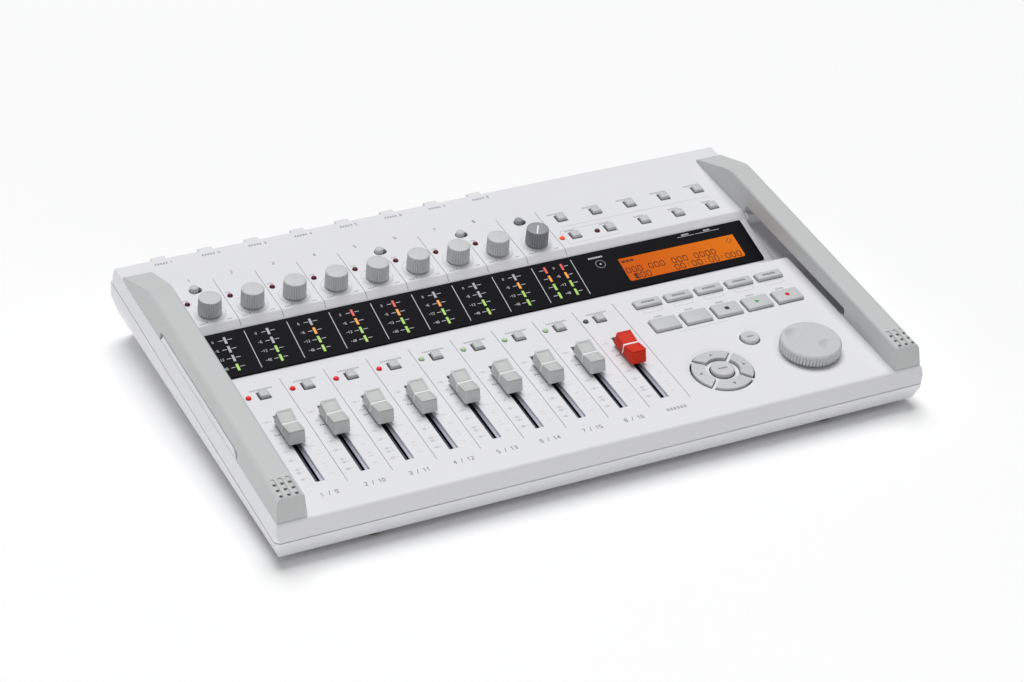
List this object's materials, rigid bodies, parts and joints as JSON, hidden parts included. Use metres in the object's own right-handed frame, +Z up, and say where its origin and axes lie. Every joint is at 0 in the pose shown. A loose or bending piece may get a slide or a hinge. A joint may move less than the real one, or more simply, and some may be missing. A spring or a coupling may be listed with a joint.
{
  "type": "digital multitrack recorder",
  "caption": "Flat desktop multitrack recorder with faders, input knobs, a meter and display strip, transport keys, a cursor ring, a dial and two side carrying handles.",
  "frame": {"origin": "on the table, under the middle of the overall box", "axes": "+X to the user's right, +Y from the user to the rear jacks, +Z up from the table"},
  "size_m": [0.376, 0.2385, 0.0562],
  "materials": {
    "case_white": "fine matte moulded plastic",
    "handle_grey": "soft matte moulded plastic",
    "key_grey": "matte moulded plastic",
    "knob_dark": "matte moulded plastic",
    "cap_red": "matte moulded plastic",
    "window_black": "smooth dark acrylic",
    "lcd_orange": "backlit display",
    "led": "moulded lamp lens",
    "board_green": "solder mask",
    "sheet_metal": "plated",
    "jack_black": "matte moulded plastic",
    "rubber": "matte",
    "screw_steel": "dark plated"
  },
  "bodies": {
    "case": {"top_case": "case_white", "bottom_case": "case_white", "left_handle": "handle_grey", "right_handle": "handle_grey", "display_window": "window_black", "display_module": "lcd_orange", "leds": "led", "control_board": "board_green", "knob_board": "board_green", "main_board": "board_green", "fader_units": "sheet_metal", "rotary_pots": "sheet_metal", "switch_units": "sheet_metal", "combo_jacks": "jack_black", "jack_sockets": "jack_black", "port_sockets": "sheet_metal", "mic_capsules": "jack_black", "rubber_feet": "rubber", "case_screws": "screw_steel"},
    "fader_1": {"fader_1": "key_grey"},
    "fader_2": {"fader_2": "key_grey"},
    "fader_3": {"fader_3": "key_grey"},
    "fader_4": {"fader_4": "key_grey"},
    "fader_5": {"fader_5": "key_grey"},
    "fader_6": {"fader_6": "key_grey"},
    "fader_7": {"fader_7": "key_grey"},
    "fader_8": {"fader_8": "key_grey"},
    "master_fader": {"master_fader": "cap_red"},
    "gain_knob_1": {"gain_knob_1": "key_grey"},
    "gain_knob_2": {"gain_knob_2": "key_grey"},
    "gain_knob_3": {"gain_knob_3": "key_grey"},
    "gain_knob_4": {"gain_knob_4": "key_grey"},
    "gain_knob_5": {"gain_knob_5": "key_grey"},
    "gain_knob_6": {"gain_knob_6": "key_grey"},
    "gain_knob_7": {"gain_knob_7": "key_grey"},
    "gain_knob_8": {"gain_knob_8": "key_grey"},
    "balance_knob": {"balance_knob": "knob_dark"},
    "jog_dial": {"jog_dial": "key_grey"},
    "rewind_key": {"rewind_key": "key_grey"},
    "forward_key": {"forward_key": "key_grey"},
    "stop_key": {"stop_key": "key_grey"},
    "play_key": {"play_key": "key_grey"},
    "record_key": {"record_key": "key_grey"},
    "cursor_right": {"cursor_right": "key_grey"},
    "cursor_up": {"cursor_up": "key_grey"},
    "cursor_left": {"cursor_left": "key_grey"},
    "cursor_down": {"cursor_down": "key_grey"},
    "enter_key": {"enter_key": "key_grey"},
    "exit_key": {"exit_key": "key_grey"},
    "track_keys": {"track_keys": "key_grey"},
    "menu_keys_upper": {"menu_keys_upper": "key_grey"},
    "menu_keys_lower": {"menu_keys_lower": "key_grey"},
    "marker_keys": {"marker_keys": "key_grey"},
    "slide_switch_1": {"slide_switch_1": "key_grey"},
    "slide_switch_2": {"slide_switch_2": "key_grey"},
    "slide_switch_3": {"slide_switch_3": "key_grey"},
    "slide_switch_4": {"slide_switch_4": "knob_dark"},
    "power_switch": {"power_switch": "jack_black"},
    "phones_volume": {"phones_volume": "knob_dark"},
    "battery_door": {"battery_door": "case_white"}
  },
  "joints": [
    {"name": "fader_1_slide", "type": "slide", "parent": "case", "child": "fader_1", "axis": [0, 0.9959, 0.0906], "range_m": [-0.0358, 0.013]},
    {"name": "fader_2_slide", "type": "slide", "parent": "case", "child": "fader_2", "axis": [0, 0.9959, 0.0906], "range_m": [-0.0358, 0.013]},
    {"name": "fader_3_slide", "type": "slide", "parent": "case", "child": "fader_3", "axis": [0, 0.9959, 0.0906], "range_m": [-0.0358, 0.013]},
    {"name": "fader_4_slide", "type": "slide", "parent": "case", "child": "fader_4", "axis": [0, 0.9959, 0.0906], "range_m": [-0.0358, 0.013]},
    {"name": "fader_5_slide", "type": "slide", "parent": "case", "child": "fader_5", "axis": [0, 0.9959, 0.0906], "range_m": [-0.0358, 0.013]},
    {"name": "fader_6_slide", "type": "slide", "parent": "case", "child": "fader_6", "axis": [0, 0.9959, 0.0906], "range_m": [-0.0358, 0.013]},
    {"name": "fader_7_slide", "type": "slide", "parent": "case", "child": "fader_7", "axis": [0, 0.9959, 0.0906], "range_m": [-0.0358, 0.013]},
    {"name": "fader_8_slide", "type": "slide", "parent": "case", "child": "fader_8", "axis": [0, 0.9959, 0.0906], "range_m": [-0.0358, 0.013]},
    {"name": "master_fader_slide", "type": "slide", "parent": "case", "child": "master_fader", "axis": [0, 0.9959, 0.0906], "range_m": [-0.0358, 0.013]},
    {"name": "gain_knob_1_turn", "type": "hinge", "parent": "case", "child": "gain_knob_1", "pos_m": [-0.1532, 0.05742, 0.04026], "axis": [0, -0.0906, 0.9959], "range_deg": [-300, 0]},
    {"name": "gain_knob_2_turn", "type": "hinge", "parent": "case", "child": "gain_knob_2", "pos_m": [-0.12879, 0.05742, 0.04026], "axis": [0, -0.0906, 0.9959], "range_deg": [-300, 0]},
    {"name": "gain_knob_3_turn", "type": "hinge", "parent": "case", "child": "gain_knob_3", "pos_m": [-0.10438, 0.05742, 0.04026], "axis": [0, -0.0906, 0.9959], "range_deg": [-300, 0]},
    {"name": "gain_knob_4_turn", "type": "hinge", "parent": "case", "child": "gain_knob_4", "pos_m": [-0.07997, 0.05742, 0.04026], "axis": [0, -0.0906, 0.9959], "range_deg": [-300, 0]},
    {"name": "gain_knob_5_turn", "type": "hinge", "parent": "case", "child": "gain_knob_5", "pos_m": [-0.05556, 0.05742, 0.04026], "axis": [0, -0.0906, 0.9959], "range_deg": [-300, 0]},
    {"name": "gain_knob_6_turn", "type": "hinge", "parent": "case", "child": "gain_knob_6", "pos_m": [-0.03115, 0.05742, 0.04026], "axis": [0, -0.0906, 0.9959], "range_deg": [-300, 0]},
    {"name": "gain_knob_7_turn", "type": "hinge", "parent": "case", "child": "gain_knob_7", "pos_m": [-0.00674, 0.05742, 0.04026], "axis": [0, -0.0906, 0.9959], "range_deg": [-300, 0]},
    {"name": "gain_knob_8_turn", "type": "hinge", "parent": "case", "child": "gain_knob_8", "pos_m": [0.01767, 0.05742, 0.04026], "axis": [0, -0.0906, 0.9959], "range_deg": [-300, 0]},
    {"name": "balance_knob_turn", "type": "hinge", "parent": "case", "child": "balance_knob", "pos_m": [0.04208, 0.05742, 0.04026], "axis": [0, -0.0906, 0.9959], "range_deg": [-300, 0]},
    {"name": "jog_dial_turn", "type": "hinge", "parent": "case", "child": "jog_dial", "pos_m": [0.13648, -0.08319, 0.02746], "axis": [0, -0.0906, 0.9959], "continuous": true},
    {"name": "rewind_key_press", "type": "slide", "parent": "case", "child": "rewind_key", "axis": [0, -0.0906, 0.9959], "range_m": [-0.0008, 0], "stiffness_N_per_m": 500},
    {"name": "forward_key_press", "type": "slide", "parent": "case", "child": "forward_key", "axis": [0, -0.0906, 0.9959], "range_m": [-0.0008, 0], "stiffness_N_per_m": 500},
    {"name": "stop_key_press", "type": "slide", "parent": "case", "child": "stop_key", "axis": [0, -0.0906, 0.9959], "range_m": [-0.0008, 0], "stiffness_N_per_m": 500},
    {"name": "play_key_press", "type": "slide", "parent": "case", "child": "play_key", "axis": [0, -0.0906, 0.9959], "range_m": [-0.0008, 0], "stiffness_N_per_m": 500},
    {"name": "record_key_press", "type": "slide", "parent": "case", "child": "record_key", "axis": [0, -0.0906, 0.9959], "range_m": [-0.0008, 0], "stiffness_N_per_m": 500},
    {"name": "cursor_right_press", "type": "slide", "parent": "case", "child": "cursor_right", "axis": [0, -0.0906, 0.9959], "range_m": [-0.0008, 0], "stiffness_N_per_m": 500},
    {"name": "cursor_up_press", "type": "slide", "parent": "case", "child": "cursor_up", "axis": [0, -0.0906, 0.9959], "range_m": [-0.0008, 0], "stiffness_N_per_m": 500},
    {"name": "cursor_left_press", "type": "slide", "parent": "case", "child": "cursor_left", "axis": [0, -0.0906, 0.9959], "range_m": [-0.0008, 0], "stiffness_N_per_m": 500},
    {"name": "cursor_down_press", "type": "slide", "parent": "case", "child": "cursor_down", "axis": [0, -0.0906, 0.9959], "range_m": [-0.0008, 0], "stiffness_N_per_m": 500},
    {"name": "enter_key_press", "type": "slide", "parent": "case", "child": "enter_key", "axis": [0, -0.0906, 0.9959], "range_m": [-0.0008, 0], "stiffness_N_per_m": 500},
    {"name": "exit_key_press", "type": "slide", "parent": "case", "child": "exit_key", "axis": [0, -0.0906, 0.9959], "range_m": [-0.0008, 0], "stiffness_N_per_m": 500},
    {"name": "track_keys_press", "type": "slide", "parent": "case", "child": "track_keys", "axis": [0, -0.0906, 0.9959], "range_m": [-0.0008, 0], "stiffness_N_per_m": 500},
    {"name": "menu_keys_upper_press", "type": "slide", "parent": "case", "child": "menu_keys_upper", "axis": [0, -0.0906, 0.9959], "range_m": [-0.0008, 0], "stiffness_N_per_m": 500},
    {"name": "menu_keys_lower_press", "type": "slide", "parent": "case", "child": "menu_keys_lower", "axis": [0, -0.0906, 0.9959], "range_m": [-0.0008, 0], "stiffness_N_per_m": 500},
    {"name": "marker_keys_press", "type": "slide", "parent": "case", "child": "marker_keys", "axis": [0, -0.0906, 0.9959], "range_m": [-0.0008, 0], "stiffness_N_per_m": 500},
    {"name": "slide_switch_1_slide", "type": "slide", "parent": "case", "child": "slide_switch_1", "axis": [1, 0, 0], "range_m": [0, 0.0016]},
    {"name": "slide_switch_2_slide", "type": "slide", "parent": "case", "child": "slide_switch_2", "axis": [1, 0, 0], "range_m": [0, 0.0016]},
    {"name": "slide_switch_3_slide", "type": "slide", "parent": "case", "child": "slide_switch_3", "axis": [1, 0, 0], "range_m": [0, 0.0016]},
    {"name": "slide_switch_4_slide", "type": "slide", "parent": "case", "child": "slide_switch_4", "axis": [1, 0, 0], "range_m": [0, 0.0016]},
    {"name": "power_switch_slide", "type": "slide", "parent": "case", "child": "power_switch", "axis": [1, 0, 0], "range_m": [0, 0.004]},
    {"name": "phones_volume_turn", "type": "hinge", "parent": "case", "child": "phones_volume", "pos_m": [0.087, 0.11676, 0.0195], "axis": [0, 1, 0], "range_deg": [-150, 150]},
    {"name": "battery_door_hinge", "type": "hinge", "parent": "case", "child": "battery_door", "pos_m": [0, 0.0594, 0.004], "axis": [1, 0, 0], "range_deg": [0, 100]}
  ]
}
